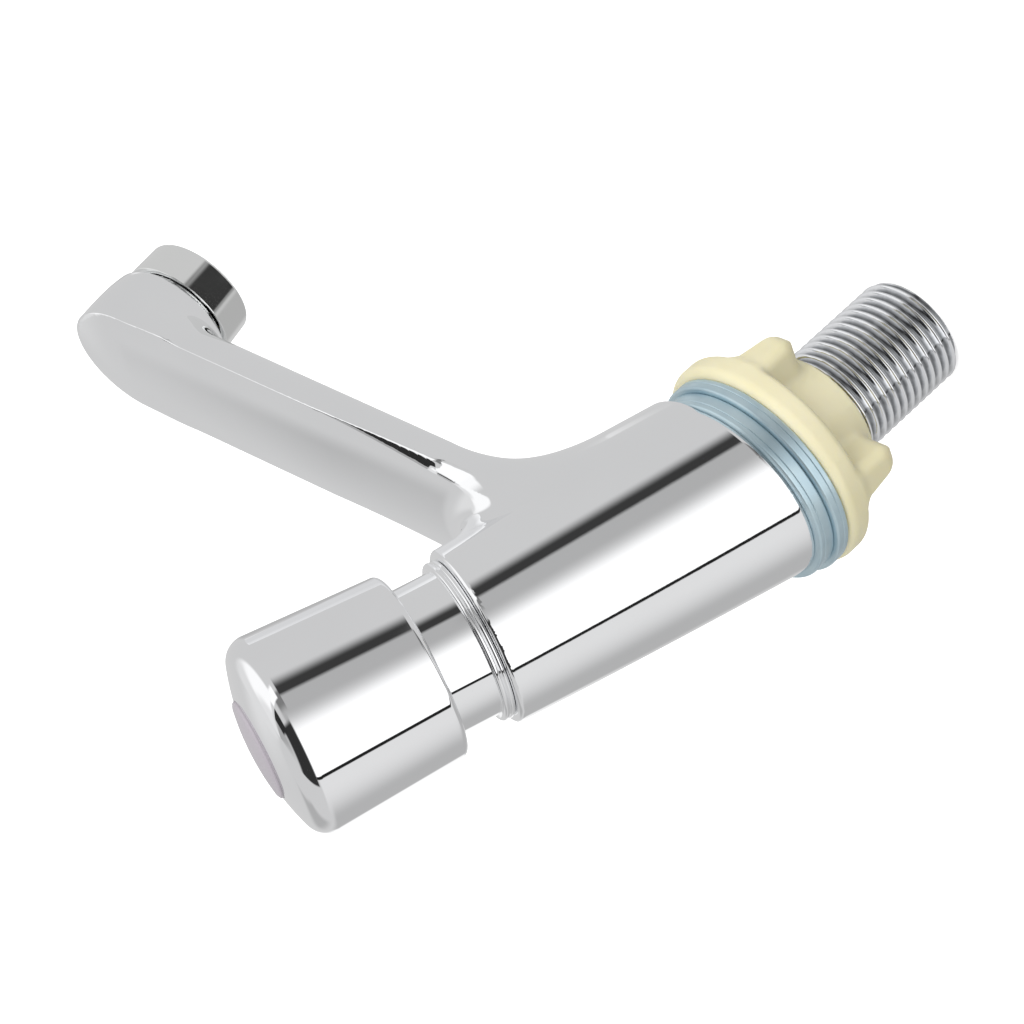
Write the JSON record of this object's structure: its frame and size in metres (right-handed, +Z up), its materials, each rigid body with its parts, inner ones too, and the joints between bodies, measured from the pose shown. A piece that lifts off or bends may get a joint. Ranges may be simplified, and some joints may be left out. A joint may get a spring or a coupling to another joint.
{
  "type": "push timed tap",
  "caption": "Basin pillar tap with a push button that shuts off by itself, a flat rising spout and a threaded tail with washers and a wing backnut.",
  "frame": {"origin": "centre of the foot's seat face, on the axis of the threaded tail", "axes": "+Z up along the tail's axis, -Y towards the outlet of the spout, symmetric about X = 0"},
  "size_m": [0.0416, 0.1366, 0.1364],
  "materials": {
    "chrome_body": "polished chrome plate on cast brass",
    "chrome_trim": "polished chrome plate on turned brass",
    "chrome_button": "polished chrome plate",
    "chrome_thread": "chrome plate over a cut thread",
    "chrome_aerator": "polished chrome plate",
    "badge": "bare grey lilac disc",
    "blue_washer": "satin steel blue, finely turned",
    "cream_nylon": "moulded cream nylon, slightly translucent",
    "brass": "turned",
    "steel": "turned stainless",
    "spring_wire": "drawn stainless wire",
    "acetal": "moulded white acetal",
    "rubber": "black nitrile"
  },
  "bodies": {
    "tap": {"tap_body": "chrome_body", "bonnet": "chrome_trim", "gland_bush": "acetal", "gland_oring": "rubber", "cartridge_body": "brass", "cartridge_oring": "rubber", "bonnet_oring": "rubber", "metering_pin": "steel", "inlet_strainer": "acetal", "tail_shank": "chrome_thread", "aerator_housing": "chrome_aerator", "aerator_insert": "acetal", "aerator_screen": "steel", "aerator_washer": "rubber", "return_spring": "spring_wire"},
    "button": {"button_cap": "chrome_button", "cap_badge": "badge", "cap_screw": "steel", "spindle": "brass", "spring_collar": "steel", "timing_piston": "acetal", "lip_seal": "rubber", "valve_disc": "brass", "seat_washer": "rubber", "jumper_nut": "brass"},
    "washers": {"washer_upper": "blue_washer", "washer_lower": "blue_washer"},
    "nut": {"wing_nut": "cream_nylon"}
  },
  "joints": [
    {"name": "button_press", "type": "slide", "parent": "tap", "child": "button", "axis": [0, 0.284, -0.9588], "range_m": [0, 0.0055], "stiffness_N_per_m": 900, "springref_m": -0.012, "deforming": ["return_spring"]},
    {"name": "nut_travel", "type": "slide", "parent": "tap", "child": "washers", "axis": [0, 0, 1], "range_m": [-0.02358, 0]},
    {"name": "nut_turn", "type": "hinge", "parent": "washers", "child": "nut", "pos_m": [0, 0, 0], "axis": [0, 0, 1], "range_deg": [-4680, 0]}
  ],
  "couplings": [
    {"joint": "nut_turn", "follows": "nut_travel", "rad_per_m": 3463.7}
  ]
}
